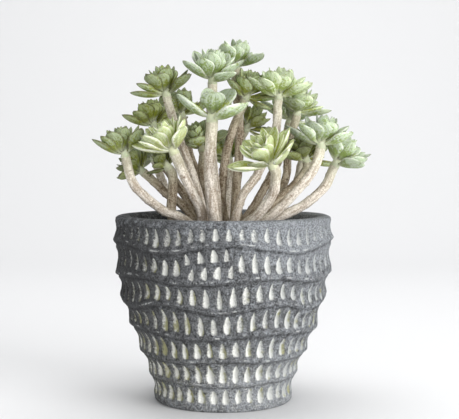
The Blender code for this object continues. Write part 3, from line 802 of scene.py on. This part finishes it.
def rosette_leaves(shoot, number):
    """The leaves of a head in order, from the lowest to the innermost, by the golden angle."""
    chance = random.Random(number)
    step = -GOLDEN_ANGLE if number in BROAD_HEADS else GOLDEN_ANGLE
    blunt = ROUND_LEAF if number in BROAD_HEADS else POINTED_LEAF
    leaves = []
    for index in range(shoot.leaves):
        rank = index / (shoot.leaves - 1)
        turn = shoot.turn + index * step + chance.uniform(-SPIN_JITTER, SPIN_JITTER)
        root = leaf_root(shoot, turn, mix(LOWEST_LEAF, HIGHEST_LEAF, rank), ROOT_OFFSET)
        lift = mix(shoot.low, shoot.high, rank ** 0.9) + chance.uniform(-LIFT_JITTER, LIFT_JITTER)
        length, width = leaf_size(shoot, rank)
        length *= chance.uniform(0.93, 1.05)
        width *= chance.uniform(0.92, 1.05)
        curl = LEAF_CURL - CURL_LOSS * rank
        rings = TEST_RINGS if rank < INNER_FROM else INNER_TEST_RINGS
        leaves.append(Leaf(*root, length, width, blunt, lift, curl, rings))
    return leaves


def between_leaves(shoot, number, chance):
    """Smaller leaves that fill a head between the placed ones. A broad head has none."""
    if number in BROAD_HEADS:
        return []
    leaves = []
    for index in range(shoot.leaves - 1):
        rank = (index + 0.5) / (shoot.leaves - 1)
        jitter = chance.uniform(-BETWEEN_SPIN_JITTER, BETWEEN_SPIN_JITTER)
        turn = shoot.turn + (index + 0.5) * GOLDEN_ANGLE + 180 + jitter
        root = leaf_root(shoot, turn, mix(LOWEST_LEAF, HIGHEST_LEAF, rank), ROOT_OFFSET)
        lift = mix(shoot.low, shoot.high, rank ** 1.1) + chance.uniform(0, 6)
        length, width = leaf_size(shoot, rank)
        length *= chance.uniform(0.8, 0.92)
        curl = LEAF_CURL - CURL_LOSS * rank
        leaves.append(Leaf(*root, length, width * BETWEEN_WIDTH, POINTED_LEAF, lift, curl, TEST_RINGS))
    return leaves


def heart_leaves(shoot, number, chance):
    """The tight heart in the middle of a head."""
    count, rise, longest = BROAD_HEART if number in BROAD_HEADS else HEART
    leaves = []
    for index in range(count):
        share = index / (count - 1)
        turn = shoot.turn + (shoot.leaves + index) * GOLDEN_ANGLE
        root = leaf_root(shoot, turn, HIGHEST_LEAF + rise * share, mix(*HEART_OFFSETS, share))
        length = shoot.length * mix(longest, SHORTEST_HEART, share)
        width = shoot.width * mix(*HEART_WIDTHS, share)
        lift = mix(*HEART_LIFTS, share) + chance.uniform(-6, 6)
        leaves.append(Leaf(*root, length, width, POINTED_LEAF, lift, LEAF_CURL, TEST_RINGS))
    return leaves


def leaf_tree(leaf, grow):
    """A search tree of a leaf's surface, grown all round."""
    bm = bmesh.new()
    add_leaf(bm, leaf, TEST_SIDES, leaf.rings, grow)
    tree = BVHTree.FromBMesh(bm)
    bm.free()
    return tree


def node_tree(node):
    """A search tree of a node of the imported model."""
    points = [vert.co for vert in node.data.vertices]
    return BVHTree.FromPolygons(points, [list(face.vertices) for face in node.data.polygons])


def bend_clear(leaf, others, own_stem):
    """Bend, turn or shorten a leaf until it is clear of the other shoots; None where nothing helps."""
    for share in SIZE_TRIES:
        for lift, turn in BEND_TRIES:
            outward = Matrix.Rotation(math.radians(turn), 3, leaf.axis) @ leaf.outward
            bent = leaf._replace(outward=outward, lift=leaf.lift + lift, length=leaf.length * share,
                                 width=leaf.width * (0.4 + 0.6 * share))
            if leaf_tree(bent, STEM_CLEARANCE).overlap(own_stem):
                continue
            blade = leaf_tree(bent, CLEARANCE)
            if not any(blade.overlap(other) for other in others):
                return bent
    return None


def build_head(index, shoot, leaves, material):
    """A head: its leaves round a short core that caps the stem."""
    axis = head_axis(shoot)
    stand = axis.to_track_quat("Z", "Y").to_matrix().to_4x4()
    middle = Vector(shoot.neck) + axis * (HEAD_GAP + 0.5 * CORE_HEIGHT - 0.5 * CORE_FOOT)
    bm = bmesh.new()
    layer = bm.verts.layers.float_color.new("blade")
    core = bmesh.ops.create_cone(bm, cap_ends=True, segments=STEM_SIDES, radius1=shoot.radius * 0.98 * MM,
                                 radius2=shoot.radius * 0.55 * MM, depth=(CORE_HEIGHT + CORE_FOOT) * MM,
                                 matrix=Matrix.Translation(middle * MM) @ stand)
    for vert in core["verts"]:
        vert[layer] = (0.0, 0.5, 0.0, 0.6)
    for leaf in leaves:
        uneven = 0.7 * noise.noise(leaf.outward * 2.3 + leaf.place * 0.05)
        shade = 0.5 + HEAD_SHADES.get(index, 0.0) + uneven
        add_leaf(bm, leaf, LEAF_SIDES, LEAF_RINGS, layer=layer, shade=shade)
    bmesh.ops.recalc_face_normals(bm, faces=bm.faces)
    add_piece(f"head_{index:02d}", bm, material, f"leaf_{shoot.tone}", f"rosette_{index:02d}")


def build_plant(nodes, barks, blades):
    """Stems, then heads, with every leaf bent clear of the other shoots."""
    numbers = range(1, len(SHOOTS) + 1)
    stems = [node_tree(nodes[f"stem_{number:02d}"]) for number in numbers]
    heads = [node_tree(nodes[f"rosette_{number:02d}"]) for number in numbers]
    for index, (number, shoot) in enumerate(zip(numbers, SHOOTS)):
        build_stem(number, shoot, barks["brown" if number in SHADED_BROWN_STEMS else "pale"])
        earlier = stems[:index] + stems[index + 1:] + heads[:index]
        leaves = [bend_clear(leaf, earlier, stems[index]) for leaf in rosette_leaves(shoot, number)]
        leaves = [leaf for leaf in leaves if leaf]
        everyone = earlier + heads[index + 1:]
        chance = random.Random(BETWEEN_SEED + number)
        for leaf in between_leaves(shoot, number, chance) + heart_leaves(shoot, number, chance):
            if not any(leaf_tree(leaf, STEM_CLEARANCE).overlap(other) for other in everyone):
                leaves.append(leaf)
        build_head(number, shoot, leaves, blades[HEAD_KINDS.get(number, shoot.tone)])


# Shader helpers

def add_node(tree, kind, settings=None, **inputs):
    """A shader node with its settings, and its inputs by name: a socket is linked, a value is set."""
    made = tree.nodes.new(kind)
    for name, value in (settings or {}).items():
        setattr(made, name, value)
    for name, value in inputs.items():
        set_input(tree, made.inputs[name.replace("_", " ")], value)
    return made


def set_input(tree, socket, value):
    """Link a socket to an input, or set a value on it."""
    if isinstance(value, bpy.types.NodeSocket):
        tree.links.new(value, socket)
    else:
        socket.default_value = value


def noise_value(tree, vector, scale, detail=4.0, rough=0.6):
    """Noise from 0 to 1 at a point."""
    made = add_node(tree, "ShaderNodeTexNoise", Vector=vector, Scale=scale, Detail=detail, Roughness=rough)
    return made.outputs["Fac"]


def ranged(tree, value, low, high, to_low=0.0, to_high=1.0):
    """The value, stretched from low..high to another range and held inside it."""
    made = add_node(tree, "ShaderNodeMapRange", {"interpolation_type": "SMOOTHSTEP"})
    for name, amount in (("Value", value), ("From Min", low), ("From Max", high), ("To Min", to_low),
                         ("To Max", to_high)):
        set_input(tree, made.inputs[name], amount)
    return made.outputs["Result"]


def calculate(tree, operation, *values):
    """The result of a Math node."""
    made = add_node(tree, "ShaderNodeMath", {"operation": operation})
    for socket, value in zip(made.inputs, values):
        set_input(tree, socket, value)
    return made.outputs["Value"]


def added(tree, total, *others):
    """Values added one after another."""
    for other in others:
        total = calculate(tree, "ADD", total, other)
    return total


def times(tree, first, second):
    """One value times another."""
    return calculate(tree, "MULTIPLY", first, second)


def blend_colours(tree, share, start, end, kind="MIX"):
    """A colour between two, or their product at a share."""
    made = add_node(tree, "ShaderNodeMix", {"data_type": "RGBA", "blend_type": kind})
    set_input(tree, made.inputs["Factor"], share)
    set_input(tree, made.inputs["A"], start)
    set_input(tree, made.inputs["B"], end)
    return made.outputs["Result"]


def opaque(colour):
    """A colour with full alpha."""
    return (*colour, 1.0)


def painted(tree, colour, share, over):
    """A colour covered by a plain one, as much as the share says."""
    return blend_colours(tree, share, colour, opaque(over))


def shaded(tree, colour, factor):
    """A colour made lighter or darker by a factor."""
    return blend_colours(tree, 1.0, colour, factor, "MULTIPLY")


def new_group(name, inputs, outputs):
    """An empty node group with named sockets; returns the group, its input and its output node."""
    group = bpy.data.node_groups.new(name, "ShaderNodeTree")
    for label, kind in inputs:
        group.interface.new_socket(label, in_out="INPUT", socket_type=kind)
    for label, kind in outputs:
        group.interface.new_socket(label, in_out="OUTPUT", socket_type=kind)
    return group, group.nodes.new("NodeGroupInput"), group.nodes.new("NodeGroupOutput")


def new_material(name, roughness_value):
    """A Principled material with its tree and shader."""
    material = bpy.data.materials.new(name)
    material.use_nodes = True
    shader = material.node_tree.nodes["Principled BSDF"]
    shader.inputs["Roughness"].default_value = roughness_value
    return material, material.node_tree, shader


def place_group(tree, group, **inputs):
    """A shared effect with this material's own values."""
    return add_node(tree, "ShaderNodeGroup", {"node_tree": group}, **inputs)


def object_point(tree):
    """The point on the piece, in metres."""
    return tree.nodes.new("ShaderNodeTexCoord").outputs["Object"]


def attribute(tree, name):
    """A node that reads one of the piece's own layers."""
    return add_node(tree, "ShaderNodeAttribute", {"attribute_name": name})


def coat(tree, shader, colour, relief, strength, distance):
    """Give a shader its colour and fine relief that only the light sees."""
    made = add_node(tree, "ShaderNodeBump", Height=relief, Strength=strength, Distance=distance)
    set_input(tree, shader.inputs["Base Color"], colour)
    set_input(tree, shader.inputs["Normal"], made.outputs["Normal"])


def two_tone_base(tree, two_tone, surface, dark, light):
    """A colour between two, by a surface's grit and patches."""
    made = place_group(tree, two_tone, Dark=opaque(dark), Light=opaque(light),
                       Grit=surface.outputs["Grit"], Patches=surface.outputs["Patches"])
    return made.outputs["Color"]


# Shared effects

def grain_group():
    """Fine grit and slow patches, from 0 to 1, over any surface."""
    group, given, result = new_group(
        "surface_grain",
        [("Point", "NodeSocketVector"), ("Fine Scale", "NodeSocketFloat"),
         ("Patch Scale", "NodeSocketFloat")],
        [("Grit", "NodeSocketFloat"), ("Patches", "NodeSocketFloat")])
    point = given.outputs["Point"]
    grit = noise_value(group, point, given.outputs["Fine Scale"])
    patches = noise_value(group, point, given.outputs["Patch Scale"], 3.0, 0.55)
    group.links.new(grit, result.inputs["Grit"])
    group.links.new(patches, result.inputs["Patches"])
    return group


def two_tone_group():
    """A colour between two, by grit and patches."""
    group, given, result = new_group(
        "two_tone",
        [("Dark", "NodeSocketColor"), ("Light", "NodeSocketColor"), ("Grit", "NodeSocketFloat"),
         ("Patches", "NodeSocketFloat")],
        [("Color", "NodeSocketColor")])
    grit = times(group, ranged(group, given.outputs["Grit"], 0.42, 0.58), 0.62)
    patches = times(group, ranged(group, given.outputs["Patches"], 0.34, 0.66), 0.38)
    colour = blend_colours(group, added(group, grit, patches), given.outputs["Dark"], given.outputs["Light"])
    group.links.new(colour, result.inputs["Color"])
    return group


# Materials

def pot_base(tree, surface, two_tone, axes, strokes):
    """Mottled charcoal, with painted shade at the left; its dry-brushed powder is partly painted light
    towards the right and the lip, and painted light at the foot.
    """
    across = axes.outputs["X"]
    height = axes.outputs["Z"]
    base = two_tone_base(tree, two_tone, surface, CAST_DARK, CAST_LIGHT)
    # Painted shade: the left side is darkened, less so low down, as if turned away from the light
    left = times(tree, ranged(tree, across, -0.018, -0.056, 0.0, 0.72),
                 ranged(tree, height, 0.030, 0.065, 0.3, 1.0))
    colour = painted(tree, base, left, LEFT_PAINTED_SHADE)
    # The powder is partly real dry-brushing and partly painted light at the right and the lip; at the foot,
    # which faces down, it is painted light
    right = ranged(tree, across, -0.045, 0.055, 0.0, 0.14)
    lip = ranged(tree, height, 0.088, 0.1015, 0.0, 0.09)
    foot = ranged(tree, height, 0.045, 0.004, 0.0, 0.12)
    haze = times(tree, ranged(tree, across, -0.005, 0.030, 0.0, 0.12), ranged(tree, height, 0.072, 0.088))
    powder_and_painted_light = ranged(tree, added(tree, strokes, right, lip, foot, haze), 0.56, 0.72, 0.0, 0.8)
    grit = ranged(tree, surface.outputs["Grit"], 0.42, 0.58)
    powder = blend_colours(tree, grit, opaque(POWDER_DARK), opaque(POWDER_LIGHT))
    return blend_colours(tree, powder_and_painted_light, colour, powder)


def scratch_marks(tree, point, scale, width):
    """Thin wandering lines, from 0 to 1."""
    wander = noise_value(tree, point, scale, 3.0)
    apart = calculate(tree, "ABSOLUTE", calculate(tree, "SUBTRACT", wander, 0.5))
    return ranged(tree, apart, 0.0, width, 1.0, 0.0)


def paint_cover(tree, point, axes):
    """How much the whitewash in the gouges covers: worn, thin high at the left, partly as painted shade,
    thick near the foot.
    """
    height = axes.outputs["Z"]
    worn = calculate(tree, "MULTIPLY_ADD", noise_value(tree, point, 900.0, 6.0, 0.9), 2.4, -1.2)
    paint = added(tree, attribute(tree, "paint").outputs["Fac"], worn)
    # Thinner high at the left: partly wear, partly painted shade
    thin = times(tree, ranged(tree, axes.outputs["X"], -0.025, -0.055, 0.0, 0.30),
                 ranged(tree, height, 0.035, 0.065))
    thin = added(tree, thin, ranged(tree, height, 0.086, 0.096, 0.0, 0.14))
    thin = calculate(tree, "SUBTRACT", thin, ranged(tree, height, 0.050, 0.015, 0.0, 0.25))
    return ranged(tree, calculate(tree, "SUBTRACT", paint, thin), 0.20, 0.85, 0.0, 0.95)


def paint_colour(tree, point, axes):
    """White, greyer towards the right, and stained green low at the left; greyer and greener on each gouge's
    right flank as painted shade.
    """
    # Painted shade: the flank layer greys and greens each gouge's right flank, which faces away from the
    # light
    flank = attribute(tree, "flank").outputs["Fac"]
    grey_and_flank_shade = added(tree, ranged(tree, axes.outputs["X"], 0.005, 0.050, 0.0, 0.42), times(tree, flank, 0.35))
    white = blend_colours(tree, grey_and_flank_shade, opaque(WHITEWASH), opaque(GREY_WASH_AND_FLANK_SHADE))
    left = ranged(tree, axes.outputs["X"], -0.045, 0.010, 0.22, -0.12)
    high = ranged(tree, axes.outputs["Z"], 0.055, 0.080, 0.0, -0.20)
    stain_and_flank_shade = added(tree, left, high, noise_value(tree, point, 140.0), times(tree, flank, 0.26))
    return painted(tree, white, ranged(tree, stain_and_flank_shade, 0.60, 0.80, 0.0, 0.85), ALGAE_AND_FLANK_SHADE)


def pot_material(grain, two_tone):
    """Charcoal cast pot: whitewash in the gouges, chipped ridges, painted shade in the undercuts."""
    material, tree, shader = new_material("charcoal_cast", 0.88)
    point = object_point(tree)
    surface = place_group(tree, grain, Point=point, Fine_Scale=1150.0, Patch_Scale=300.0)
    axes = add_node(tree, "ShaderNodeSeparateXYZ", Vector=point)
    strokes = noise_value(tree, point, 330.0, 8.0, 0.8)
    colour = pot_base(tree, surface, two_tone, axes, strokes)
    scratched = times(tree, scratch_marks(tree, point, 210.0, 0.018),
                      ranged(tree, axes.outputs["X"], -0.030, 0.050, 0.15, 0.75))
    scratched = times(tree, scratched, ranged(tree, strokes, 0.42, 0.60))
    colour = painted(tree, colour, scratched, SCRATCH)
    # Painted shade in the undercut below each ridge, broken up by the strokes
    undercut_shade = attribute(tree, "undercut_shade").outputs["Fac"]
    dark = times(tree, undercut_shade, ranged(tree, strokes, 0.38, 0.62, 0.95, 0.2))
    colour = painted(tree, colour, dark, UNDERCUT_PAINTED_SHADE)
    ridge = attribute(tree, "ridge").outputs["Fac"]
    chips = times(tree, ranged(tree, noise_value(tree, point, 190.0, 6.0, 0.8), 0.53, 0.60),
                  ranged(tree, ridge, 0.6, 1.0, 0.0, 0.85))
    colour = painted(tree, colour, chips, CHIP)
    colour = blend_colours(tree, paint_cover(tree, point, axes), colour, paint_colour(tree, point, axes))
    coat(tree, shader, colour, surface.outputs["Grit"], 1.0, 0.0012)
    return material


def soil_material(grain, two_tone):
    """Dark crumbly soil."""
    material, tree, shader = new_material("potting_soil", 0.95)
    surface = place_group(tree, grain, Point=object_point(tree), Fine_Scale=900.0, Patch_Scale=160.0)
    base = two_tone_base(tree, two_tone, surface, SOIL_DARK, SOIL_LIGHT)
    coat(tree, shader, base, surface.outputs["Grit"], 0.9, 0.001)
    return material


def stem_material(grain, two_tone, bark):
    """Speckled bark with streaks along it and darker leaf scars, greener towards the head, and darker
    towards the soil as painted shade.
    """
    material, tree, shader = new_material(bark.name, 0.8)
    point = object_point(tree)
    surface = place_group(tree, grain, Point=point, Fine_Scale=1100.0, Patch_Scale=120.0)
    colour = two_tone_base(tree, two_tone, surface, bark.dark, bark.light)
    streaks = noise_value(tree, attribute(tree, "unrolled").outputs["Vector"], 0.75, 4.0, 0.65)
    height = attribute(tree, "height").outputs["Fac"]
    scar = attribute(tree, "scar").outputs["Fac"]
    specks = noise_value(tree, point, 850.0, 3.0)
    for share, over in ((ranged(tree, streaks, 0.50, 0.62, 0.0, 0.65), bark.light),
                        (ranged(tree, streaks, 0.50, 0.40, 0.0, 0.7), bark.dark),
                        (ranged(tree, height, 0.72, 1.0, 0.0, 0.55), GREEN_BARK),
                        # Darker towards the soil: painted shade
                        (ranged(tree, height, 0.45, 0.08, 0.0, 0.35), bark.dark),
                        (ranged(tree, specks, 0.54, 0.60, 0.0, 0.22), bark.scar),
                        (ranged(tree, scar, 0.20, 0.75, 0.0, 0.85), bark.scar)):
        colour = painted(tree, colour, share, over)
    coat(tree, shader, colour, surface.outputs["Grit"], 0.6, 0.0006)
    return material


def leaf_flesh(tree, kind, share, upper):
    """Yellow-green at the root of the upper side and a pale neck at that of the under side."""
    above = blend_colours(tree, ranged(tree, share, 0.80, 0.35), opaque(kind.flesh), opaque(kind.deep))
    below = blend_colours(tree, ranged(tree, share, 0.42, 0.10), opaque(kind.under), opaque(kind.neck))
    return blend_colours(tree, upper, below, above)


def leaf_powder(tree, surface, share, across, frost):
    """How thick the bloom lies: mottled, and more towards the tip and the edges."""
    mottle = added(tree, times(tree, surface.outputs["Grit"], 0.8),
                   times(tree, surface.outputs["Patches"], 0.2))
    powder = added(tree, mottle, ranged(tree, share, 0.25, 0.85, -0.10, 0.08),
                   ranged(tree, across, 0.30, 0.95, -0.02, 0.04))
    return ranged(tree, powder, 0.43, 0.57, 0.0, frost)


def leaf_veins(tree, share, across, shade):
    """Noise drawn out along a blade, another on each."""
    run = add_node(tree, "ShaderNodeCombineXYZ", X=times(tree, across, 6.0), Y=times(tree, share, 1.3),
                   Z=times(tree, shade, 40.0))
    return noise_value(tree, run.outputs["Vector"], 1.0, 3.0)


def leaf_material(grain, kind):
    """Fleshy blade with a powdery bloom, faint veins, an edge of its own and a brown tip."""
    material, tree, shader = new_material(kind.name, 0.65)
    surface = place_group(tree, grain, Point=object_point(tree), Fine_Scale=750.0, Patch_Scale=170.0)
    blade = attribute(tree, "blade")
    parts = add_node(tree, "ShaderNodeSeparateColor", Color=blade.outputs["Color"])
    share = parts.outputs["Red"]
    across = parts.outputs["Green"]
    shade = blade.outputs["Alpha"]
    powder = leaf_powder(tree, surface, share, across, kind.frost)
    veins = leaf_veins(tree, share, across, shade)
    rim = added(tree, across, times(tree, surface.outputs["Grit"], 0.5))
    colour = leaf_flesh(tree, kind, share, parts.outputs["Blue"])
    colour = painted(tree, colour, powder, kind.bloom)
    colour = shaded(tree, colour, ranged(tree, veins, 0.36, 0.64, 0.84, 1.16))
    colour = painted(tree, colour, ranged(tree, rim, kind.rim, kind.rim + RIM_BLUR, 0.0, 0.9), kind.edge)
    colour = shaded(tree, colour, ranged(tree, shade, 0.0, 1.0, 0.60, 1.40))
    colour = painted(tree, colour, ranged(tree, share, 0.91, 0.97, 0.0, kind.tip), BROWN_TIP)
    coat(tree, shader, colour, added(tree, surface.outputs["Grit"], veins), 0.8, 0.0007)
    set_input(tree, shader.inputs["Roughness"], ranged(tree, powder, 0.0, 1.0, 0.5, 0.85))
    shader.inputs["Subsurface Weight"].default_value = 0.12
    shader.inputs["Subsurface Radius"].default_value = (0.0012, 0.0018, 0.0006)
    shader.inputs["Subsurface Scale"].default_value = 1.0
    return material


# Stage, light and camera

def build_stage():
    """A pale floor that curves up into a backdrop."""
    bm = bmesh.new()
    made = bmesh.ops.create_grid(bm, x_segments=1, y_segments=1, size=1.0)
    for vert in made["verts"]:
        vert.co.x *= FLOOR_HALF_WIDTH
        vert.co.y = FLOOR_BACK if vert.co.y > 0 else FLOOR_FRONT
    back = [edge for edge in bm.edges if all(vert.co.y > 0 for vert in edge.verts)]
    raised = bmesh.ops.extrude_edge_only(bm, edges=back)
    for part in raised["geom"]:
        if isinstance(part, bmesh.types.BMVert):
            part.co.z += BACKDROP_HEIGHT
    bmesh.ops.bevel(bm, geom=back, offset=BACKDROP_BEND, segments=24, profile=0.5, affect="EDGES",
                    material=-1)
    material, _, shader = new_material("pale_paper", 0.9)
    shader.inputs["Base Color"].default_value = opaque(PAPER)
    floor = add_mesh("pale_floor", bm, material)


def add_light(name, place, aim, size, energy):
    """A soft square light that faces a point."""
    data = bpy.data.lights.new(name, "AREA")
    data.size = size
    data.energy = energy
    light = add_object(name, data)
    light.location = place
    facing = Vector(aim) - light.location
    light.rotation_euler = facing.to_track_quat("-Z", "Y").to_euler()


def build_light():
    """Bright surroundings and four soft lights."""
    world = bpy.data.worlds.new("studio")
    world.use_nodes = True
    background = world.node_tree.nodes["Background"]
    background.inputs["Color"].default_value = opaque(SURROUNDINGS)
    background.inputs["Strength"].default_value = SURROUNDINGS_STRENGTH
    bpy.context.scene.world = world
    for light in LIGHTS:
        add_light(*light)
    bpy.context.scene.view_settings.view_transform = "Standard"


def build_camera():
    """The photograph's view."""
    data = bpy.data.cameras.new("camera")
    data.sensor_width = SENSOR_WIDTH
    data.lens = FOCAL_PIXELS * SENSOR_WIDTH / IMAGE_WIDTH
    data.clip_start = 0.01
    camera = add_object("camera", data)
    camera.location = Vector(CAMERA_PLACE) * MM
    camera.rotation_euler = (math.radians(90 - CAMERA_PITCH), 0, 0)
    bpy.context.scene.camera = camera


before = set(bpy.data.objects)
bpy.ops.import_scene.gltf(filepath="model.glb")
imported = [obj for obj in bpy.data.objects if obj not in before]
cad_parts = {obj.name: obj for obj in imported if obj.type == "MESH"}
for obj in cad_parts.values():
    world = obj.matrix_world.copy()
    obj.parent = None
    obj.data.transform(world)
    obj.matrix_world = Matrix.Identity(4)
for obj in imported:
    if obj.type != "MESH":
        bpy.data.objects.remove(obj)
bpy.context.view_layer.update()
build_camera()
build_light()
build_stage()
surface_grain = grain_group()
colour_pair = two_tone_group()
bark_materials = {tone: stem_material(surface_grain, colour_pair, bark) for tone, bark in BARKS.items()}
leaf_materials = {tone: leaf_material(surface_grain, kind) for tone, kind in LEAF_KINDS.items()}
build_pot(pot_material(surface_grain, colour_pair))
build_soil(soil_material(surface_grain, colour_pair))
build_plant(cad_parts, bark_materials, leaf_materials)
